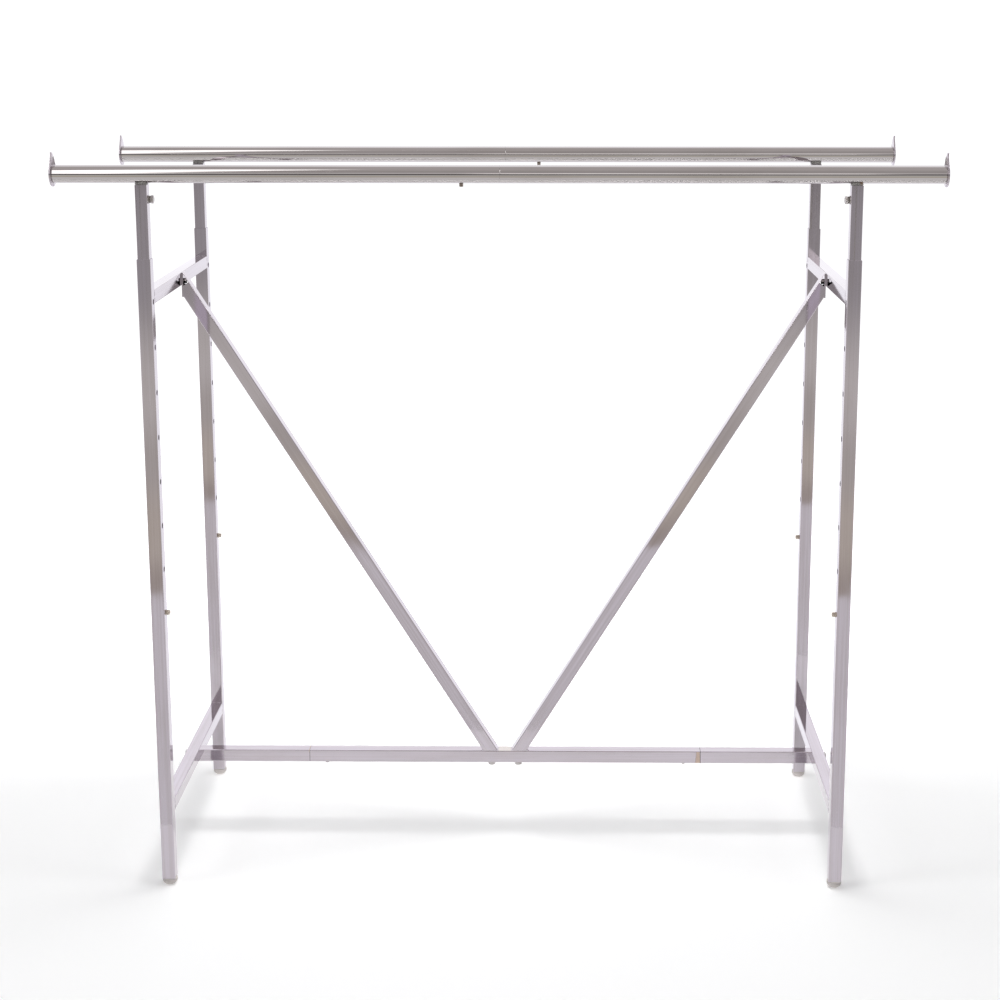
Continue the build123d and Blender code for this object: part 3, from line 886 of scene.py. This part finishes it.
# ---- the hang rails ----
@dataclass
class HangRail:
    """One round rail in two halves, with its end stops."""

    row: str
    depth: int
    finishes: Finishes
    rail_z: float = 1379.5
    radius: float = 16.65
    wall: float = 1.5
    stop_start: float = 805.8
    stop_plate: float = 3.0
    stop_radius: float = 23.0
    tip_radius: float = 4.5
    tip_height: float = 39.2
    lip: float = 1.5
    post_x: float = 646.5
    post_y: float = 266.7

    def build(self) -> None:
        """Make both halves, both end stops and both weld beads."""
        for side, name in ((-1, "left"), (1, "right")):
            self._half(side, name)
            self._stop(side, name)
            self._weld(side, name)

    def _piece(self, name: str, slot: str, *nodes: str, crease: float = 35.0) -> Piece:
        """A piece on this rail's body."""
        return Piece(name, f"{self.row}_rail", slot, nodes, crease)

    def _half(self, side: int, name: str) -> None:
        """Turn one half, with its cut ends eased and rings that hold its long walls straight."""
        node = f"{self.row}_{name}_rail_half"
        low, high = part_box(node)
        start, end = low.x / MM, high.x / MM
        out, bore, ease, hold = self.radius, self.radius - self.wall, 0.35, 1.2
        points = [(start, bore + ease), (start, out - ease)]
        points += arc((start + ease, out - ease), (ease, ease), 180, 90, 3)[1:]
        points += [(start + hold, out), (end - hold, out)]
        points += arc((end - ease, out - ease), (ease, ease), 90, 0, 3)
        points += [(end, bore + ease), (end - ease, bore), (end - hold, bore)]
        points += [(start + hold, bore), (start + ease, bore), (start, bore + ease)]
        place = Matrix.Translation((0, self.depth * self.post_y, self.rail_z))
        tube = Blank().joined(Blank().turned(points, 128), place)
        tube.finished(self._piece(f"{node}.shaped", "rail_chrome", node), self.finishes["rail_plate"])

    def _stop(self, side: int, name: str) -> None:
        """Press one end stop: a drop-shaped plate with a rolled tip, and the plug behind it."""
        node = f"{self.row}_{name}_end_stop"
        plate = Blank()
        tip_z = self.tip_height - self.tip_radius
        for middle, radius, steps in ((0.0, self.stop_radius, 96), (tip_z, self.tip_radius, 40)):
            for x in (0.0, self.stop_plate):
                ring = bmesh.ops.create_circle(plate.bm, cap_ends=False, segments=steps, radius=radius)["verts"]
                bmesh.ops.rotate(plate.bm, verts=ring, matrix=Matrix.Rotation(math.pi / 2, 3, "Y"))
                bmesh.ops.translate(plate.bm, verts=ring, vec=(x, 0, middle))
        hull = bmesh.ops.convex_hull(plate.bm, input=plate.bm.verts[:])
        inside = [v for v in hull["geom_interior"] if isinstance(v, bmesh.types.BMVert)]
        bmesh.ops.delete(plate.bm, geom=inside, context="VERTS")
        bmesh.ops.dissolve_limit(plate.bm, angle_limit=0.01, verts=plate.bm.verts[:], edges=plate.bm.edges[:])
        plate.closed().eased(0.6, 3)
        plate.cut([29.0 + 0.6 * i for i in range(17)])
        reach = self.tip_height - 30.0
        plate.moved(lambda co: co + Vector((self.lip * (max(0.0, co.z - 30.0) / reach) ** 2, 0, 0)))
        bore = self.radius - self.wall - 0.15
        plug = [(0.2, bore - 2), (-12.0, bore - 2), (-12.0, bore - 0.5), (-11.5, bore), (0.2, bore), (0.2, bore - 2)]
        plate.closed().joined(Blank().turned(plug, 64))
        whole = Blank().joined(plate, turn_to(side, (side * self.stop_start, self.depth * self.post_y, self.rail_z)))
        piece = self._piece(f"{node}.shaped", "end_stop_chrome", node, crease=40.0)
        whole.finished(piece, self.finishes["stop_plate"])

    def _weld(self, side: int, name: str) -> None:
        """Run the bead round the spigot, under the rail."""
        bead = WeldBead(19.2, 1.0, 1.2, 44).blank()
        place = Matrix.Translation((side * self.post_x, self.depth * self.post_y, self.rail_z - self.radius - 0.5))
        ring = Blank().joined(bead, place @ Matrix.Rotation(-math.pi / 2, 4, "Y"))
        piece = self._piece(f"{self.row}_{name}_spigot_weld", "plain_steel", crease=80.0)
        ring.finished(piece, self.finishes["bare_steel"])


@dataclass(frozen=True)
class WeldBead:
    """A rippled bead that runs round a square tube, in the plane across X."""

    square: float
    corner: float
    radius: float
    ripples: int

    def blank(self) -> Blank:
        """Turn a ring, then draw it onto the tube's outline with its ripples.

        Returns:
            The blank.
        """
        reach = self.square * 0.75
        section = [(self.radius * math.cos(a), reach + self.radius * math.sin(a))
                   for a in (math.tau * i / 8 for i in range(9))]
        ring = Blank().turned(section, 4 * self.ripples)
        half, corner = self.square / 2, self.corner

        def onto_square(co: Vector) -> Vector:
            """Draw one vertex in onto the rounded square."""
            out = math.hypot(co.y, co.z)
            c, s = abs(co.y / out), abs(co.z / out)
            wall = half / max(c, s)
            inner = half - corner
            b = inner * (c + s)
            bend = b + math.sqrt(max(0.0, b * b - (2 * inner * inner - corner * corner)))
            line = min(wall, bend)
            swell = 1 + 0.12 * math.sin(self.ripples * math.atan2(co.z, co.y))
            place = line + (out - reach) * swell
            return Vector((co.x * swell, co.y / out * place, co.z / out * place))

        return ring.moved(onto_square).closed()


# ---- feet and buttons ----
@dataclass
class Glides:
    """The four domed feet with their ribbed plugs."""

    finish: bpy.types.Material
    post_x: float = 646.5
    post_y: float = 266.7
    height: float = 14.3
    diameter: float = 29.0
    side_wall: float = 4.5
    rest: float = 9.0
    round_top: float = 1.2
    plug: float = 22.6
    plug_length: float = 20.0

    def build(self) -> None:
        """Make the four feet."""
        for depth, row in ((-1, "front"), (1, "rear")):
            for side, name in ((-1, "left"), (1, "right")):
                node = f"{row}_{name}_glide"
                foot = Blank().joined(self._dome(), stand_up((0, 0, 0)))
                foot.joined(self._plug())
                placed = Blank().joined(foot, Matrix.Translation((side * self.post_x, depth * self.post_y, 0)))
                placed.finished(Piece(f"{node}.shaped", "frame", "glide_plastic", (node,)), self.finish)

    def _dome(self) -> Blank:
        """Turn the dome, with a fine parting line at its shoulder."""
        out, rest, shoulder, top = self.diameter / 2, self.rest / 2, self.height - self.side_wall, self.height
        points = [(0.0, 0.0)]
        points += arc((shoulder, rest), (-shoulder, out - rest), 0, 90, 20)
        points += [(shoulder + 0.25, out), (shoulder + 0.4, out - 0.12), (shoulder + 0.55, out)]
        points += arc((top - self.round_top, out - self.round_top), (self.round_top, self.round_top), 90, 0, 6)
        points += [(top, 0.0)]
        return Blank().turned(points, 96)

    def _plug(self) -> Blank:
        """Mould the square plug, with a recessed panel in each side and a lead-in at its top."""
        plug = Blank().block((self.plug, self.plug, self.plug_length), (0, 0, self.height + self.plug_length / 2))
        sides = [face for face in plug.bm.faces if abs(face.normal.z) < 0.5]
        bmesh.ops.inset_individual(plug.bm, faces=sides, thickness=3.0, depth=-1.2)
        return plug.closed().eased(0.5, 2)


@dataclass
class SnapButtons:
    """The four sprung buttons, each turned in one piece with its flange."""

    finish: bpy.types.Material
    post_x: float = 646.5
    post_y: float = 266.7
    lowest_hole: float = 551.5
    inner_face: float = 9.9
    reach: float = 11.3
    diameter: float = 9.5
    flange: float = 14.0
    edge: float = 1.6

    def build(self) -> None:
        """Make the four buttons."""
        out, flange, top = self.diameter / 2, self.flange / 2, self.reach
        points = [(-1.0, 0.0), (-1.0, flange - 0.2), (-0.8, flange), (-0.2, flange), (0.0, flange - 0.2)]
        points += [(0.0, out + 0.2), (0.2, out)]
        points += arc((top - self.edge, out - self.edge), (self.edge, self.edge), 90, 20, 8)
        points += [(top - 0.03, out - self.edge), (top, 0.0)]
        for depth, row in ((-1, "front"), (1, "rear")):
            for side, name in ((-1, "left"), (1, "right")):
                node = f"{row}_{name}_snap_button"
                start = (side * (self.post_x - self.inner_face), depth * self.post_y, self.lowest_hole)
                button = Blank().joined(Blank().turned(points, 64), turn_to(-side, start))
                piece = Piece(f"{node}.shaped", f"{row}_{name}_button", "button_nickel", (node,), 30.0)
                button.finished(piece, self.finish)


# ---- the welded frame ----
@dataclass
class WeldedFrame:
    """The tubes that stay as the CAD made them, dressed in their finishes, and their weld beads."""

    finishes: Finishes
    post_x: float = 646.5
    post_y: float = 266.7
    tube: float = 25.4
    bars: tuple[float, float] = (158.2, 1153.3)

    DRESS = (
        ("_upright", "upright_plate"),
        ("_inner_post", "post_plate"),
        ("_crossbar", "crossbar_plate"),
        ("left_brace", "left_brace_plate"),
        ("right_brace", "right_brace_plate"),
        ("_end_plates", "plate_steel_plate"),
        ("_foot_plates", "plate_steel_plate"),
        ("_centre_tube", "base_plate"),
        ("_stub", "base_plate"),
        ("_button_spring", "spring_strip"),
        ("_snap_button", "button_nickel"),
        ("_glide", "moulded_glide"),
        ("_rail_half", "rail_plate"),
        ("_end_stop", "stop_plate"),
        ("_spigot", "bare_steel"),
        ("_sleeve", "bare_steel"),
        ("_plugs", "bare_steel"),
        ("_inserts", "bare_steel"),
    )

    def build(self) -> None:
        """Dress every CAD node and run the beads."""
        for name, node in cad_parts.items():
            shown = next((finish for end, finish in self.DRESS if name.endswith(end)), "hardware_zinc")
            for slot in node.material_slots:
                slot.material = self.finishes[shown]
            LOG.info("%s: dressed in %s", name, shown)
        self._beads()

    def _beads(self) -> None:
        """Run a bead round both ends of each crossbar."""
        for height, level in zip(self.bars, ("lower", "upper")):
            for side, name in ((-1, "left"), (1, "right")):
                both = Blank()
                for depth in (-1, 1):
                    place = (side * self.post_x, depth * (self.post_y - self.tube / 2), height)
                    bead = WeldBead(self.tube, 1.6, 0.4, 48).blank()
                    both.joined(bead, Matrix.Translation(place) @ Matrix.Rotation(math.pi / 2, 4, "Z"))
                piece = Piece(f"{name}_{level}_crossbar_welds", "frame", "crossbar_chrome", (), 80.0)
                both.finished(piece, self.finishes["weld_plate"])


# ---- the studio ----
@dataclass
class Studio:
    """A pale floor, soft lights, a light room and the camera."""

    eye: tuple[float, float, float] = (0.1072, -3.556, 1.636)
    pitch: float = 10.92
    yaw: float = -0.0109
    lens: float = 65.4
    shift: tuple[float, float] = (-0.038, -0.12)
    paper_edge: float = -0.55
    carpet_edge: float = -2.13
    runner_edge: float = 0.35

    def build(self) -> None:
        """Set the room up."""
        scene = bpy.context.scene
        scene.view_settings.view_transform = "Standard"
        self._floor()
        self._carpet()
        self._runner()
        self._world()
        self._light("overhead", (0.0, 0.0, 3.6), (1.4, 1.4), 92.0, False)
        self._light("left_window", (-2.6, -1.2, 2.9), (1.0, 1.0), 14.0, True)
        self._light("right_window", (2.4, -0.9, 3.1), (0.7, 0.7), 7.0, True)
        self._camera()

    def _floor(self) -> None:
        """Lay a wide pale floor that glows with painted light, a little brighter behind the rack and far off than in
        front.
        """
        blank = Blank()
        bmesh.ops.create_circle(blank.bm, cap_ends=True, segments=96, radius=45.0)
        paper = bpy.data.materials.new("paper_sweep")
        paper.use_nodes = True
        g = Graph(paper.node_tree)
        x, y, z = g.split(g.place((1, 1, 1)))
        # painted light: the floor's glow stands in for lamps lighting it, dim in front, bright behind the rack and
        # fairly bright far off
        glow = g.mix(y.ramp(-0.1, 1.7), (0.42, 0.42, 0.425), (1.25, 1.25, 1.26))
        glow = g.mix((x * x + y * y).ramp(2.0, 20.0), glow, (1.1, 1.1, 1.11))
        g.surface({"Base Color": (0.80, 0.80, 0.80, 1.0), "Roughness": 0.9, "Specular IOR Level": 0.0,
                   "Emission Color": glow, "Emission Strength": 1.0})
        self._stage("floor", blank, paper, True)

    def _carpet(self) -> None:
        """Lay the toned floor that only the plating reflects, in front of the rack."""
        blank = Blank()
        bmesh.ops.create_grid(blank.bm, x_segments=1, y_segments=1, size=0.5)
        bmesh.ops.scale(blank.bm, verts=blank.bm.verts[:], vec=(60.0, 44.0, 1.0))
        bmesh.ops.translate(blank.bm, verts=blank.bm.verts[:], vec=(0.0, self.paper_edge - 22.0, 0.002))
        felt = bpy.data.materials.new("studio_carpet")
        felt.use_nodes = True
        g = Graph(felt.node_tree)
        x, y, z = g.split(g.place((1, 1, 1)))
        away = self.carpet_edge - y
        colour: Colour | bpy.types.NodeSocket = (0.52, 0.475, 0.42)
        for start, end, tone in (
            (0.10, 0.45, (0.68, 0.64, 0.55)), (0.8, 1.5, (0.60, 0.58, 0.53)), (1.7, 2.6, (0.72, 0.71, 0.66)),
            (3.0, 6.5, (0.45, 0.44, 0.44)), (14.0, 18.0, (0.12, 0.11, 0.11)),
        ):
            colour = g.mix(away.ramp(start, end), colour, tone)
        colour = g.mix(away.ramp(-0.03, 0.03), (0.84, 0.835, 0.84), colour)
        g.surface({"Base Color": (0.0, 0.0, 0.0, 1.0), "Roughness": 1.0, "Specular IOR Level": 0.0,
                   "Emission Color": colour, "Emission Strength": 1.0})
        self._card("studio_carpet", blank, felt)

    def _runner(self) -> None:
        """Lay the pale floor that only the plating reflects, behind the rack."""
        blank = Blank()
        bmesh.ops.create_grid(blank.bm, x_segments=1, y_segments=1, size=0.5)
        bmesh.ops.scale(blank.bm, verts=blank.bm.verts[:], vec=(60.0, 44.0, 1.0))
        bmesh.ops.translate(blank.bm, verts=blank.bm.verts[:], vec=(0.0, self.runner_edge + 22.0, 0.002))
        sheet = bpy.data.materials.new("studio_runner")
        sheet.use_nodes = True
        g = Graph(sheet.node_tree)
        g.surface({"Base Color": (0.0, 0.0, 0.0, 1.0), "Roughness": 1.0, "Specular IOR Level": 0.0,
                   "Emission Color": (1.14, 1.14, 1.19, 1.0), "Emission Strength": 1.0})
        self._card("studio_runner", blank, sheet)

    def _card(self, name: str, blank: Blank, finish: bpy.types.Material) -> None:
        """Make a stage sheet that only reflections show."""
        card = self._stage(name, blank, finish, False)
        card.visible_shadow = False
        card.visible_diffuse = False

    def _stage(self, name: str, blank: Blank, finish: bpy.types.Material, seen: bool) -> bpy.types.Object:
        """Make a stage object from a blank in metres."""
        mesh = bpy.data.meshes.new(name)
        blank.bm.to_mesh(mesh)
        blank.bm.free()
        mesh.materials.append(finish)
        made = bpy.data.objects.new(name, mesh)
        bpy.context.scene.collection.objects.link(made)
        made.visible_camera = seen
        made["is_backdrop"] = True
        return made

    def _world(self) -> None:
        """Light the room: bright behind and above, greyer in front."""
        world = bpy.data.worlds.new("studio")
        bpy.context.scene.world = world
        world.use_nodes = True
        g = Graph(world.node_tree)
        x, y, z = g.split(g.node("ShaderNodeTexCoord").outputs["Generated"])
        across = x / (0.001 - y)
        wall = g.mix(z.ramp(0.15, 0.45), (0.80, 0.78, 0.78), (0.50, 0.475, 0.47))
        wall = g.mix(z.ramp(0.6, 0.95), wall, (0.62, 0.59, 0.585))
        wall = g.mix(z.ramp(0.15, 0.09), wall, (0.11, 0.10, 0.10))
        left = across.ramp(-0.21, -0.26) * across.ramp(-0.45, -0.40) * z.ramp(0.08, 0.14) * z.ramp(0.92, 0.82)
        right = across.ramp(-0.06, -0.03) * across.ramp(0.20, 0.16) * z.ramp(0.07, 0.10) * z.ramp(0.30, 0.24)
        wall = g.mix(left, wall, (2.4, 2.4, 2.4))
        wall = g.mix(right, wall, (1.25, 1.23, 1.22))
        wall = g.mix(abs(x).ramp(0.42, 0.60), wall, (0.46, 0.45, 0.47))
        wall = g.mix(abs(x).ramp(0.82, 0.95), wall, (0.86, 0.85, 0.86))
        light = g.mix(y.ramp(0.20, 0.45), wall, (1.24, 1.24, 1.28))
        seen = g.value(g.node("ShaderNodeLightPath"), "Is Camera Ray")
        light = g.mix(seen, light, (1.12, 1.12, 1.13))
        back = g.node("ShaderNodeBackground", None, {"Color": light, "Strength": 1.0})
        g.node("ShaderNodeOutputWorld", None, {"Surface": back.outputs[0]})
        world.cycles_visibility.diffuse = False

    def _light(self, name: str, place: Sequence[float], size: tuple[float, float], power: float,
               mirrored: bool) -> None:
        """Hang one soft light that faces the rack.

        Args:
            name: its name.
            place: where it hangs, in metres.
            size: its width and depth.
            power: in watts.
            mirrored: whether the plating reflects it.
        """
        lamp = bpy.data.lights.new(name, "AREA")
        lamp.shape, lamp.size, lamp.size_y, lamp.energy = "RECTANGLE", size[0], size[1], power
        made = bpy.data.objects.new(name, lamp)
        made.location = place
        made.visible_glossy = mirrored
        made.visible_camera = False
        aim = Vector((0.3 * place[0], 0.0, 0.5)) - Vector(place)
        made.rotation_euler = aim.to_track_quat("-Z", "Y").to_euler()
        bpy.context.scene.collection.objects.link(made)

    def _camera(self) -> None:
        """Stand the camera at head height, a little right of the middle."""
        lens = bpy.data.cameras.new("camera")
        lens.lens, lens.sensor_width = self.lens, 36.0
        lens.shift_x, lens.shift_y = self.shift
        made = bpy.data.objects.new("camera", lens)
        fall, yaw = math.radians(self.pitch), self.yaw
        ahead = Vector((math.sin(yaw) * math.cos(fall), math.cos(yaw) * math.cos(fall), -math.sin(fall)))
        made.location = self.eye
        made.rotation_euler = ahead.to_track_quat("-Z", "Y").to_euler()
        bpy.context.scene.collection.objects.link(made)
        bpy.context.scene.camera = made


def corners() -> list[list[float]]:
    """The object's lowest and highest corner as plain lists."""
    return [list(corner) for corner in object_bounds()]


def main() -> None:
    """Dress the frame, build the pieces in order, and set the studio up."""
    logging.basicConfig(level=logging.INFO, format="%(message)s")
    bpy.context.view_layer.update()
    finishes = Finishes()
    WeldedFrame(finishes).build()
    HangRail("front", -1, finishes).build()
    HangRail("rear", 1, finishes).build()
    Hardware(finishes, 646.5, 266.7).build()
    SnapButtons(finishes["button_nickel"]).build()
    Glides(finishes["moulded_glide"]).build()
    Studio().build()


if __name__ == "__main__":
    main()
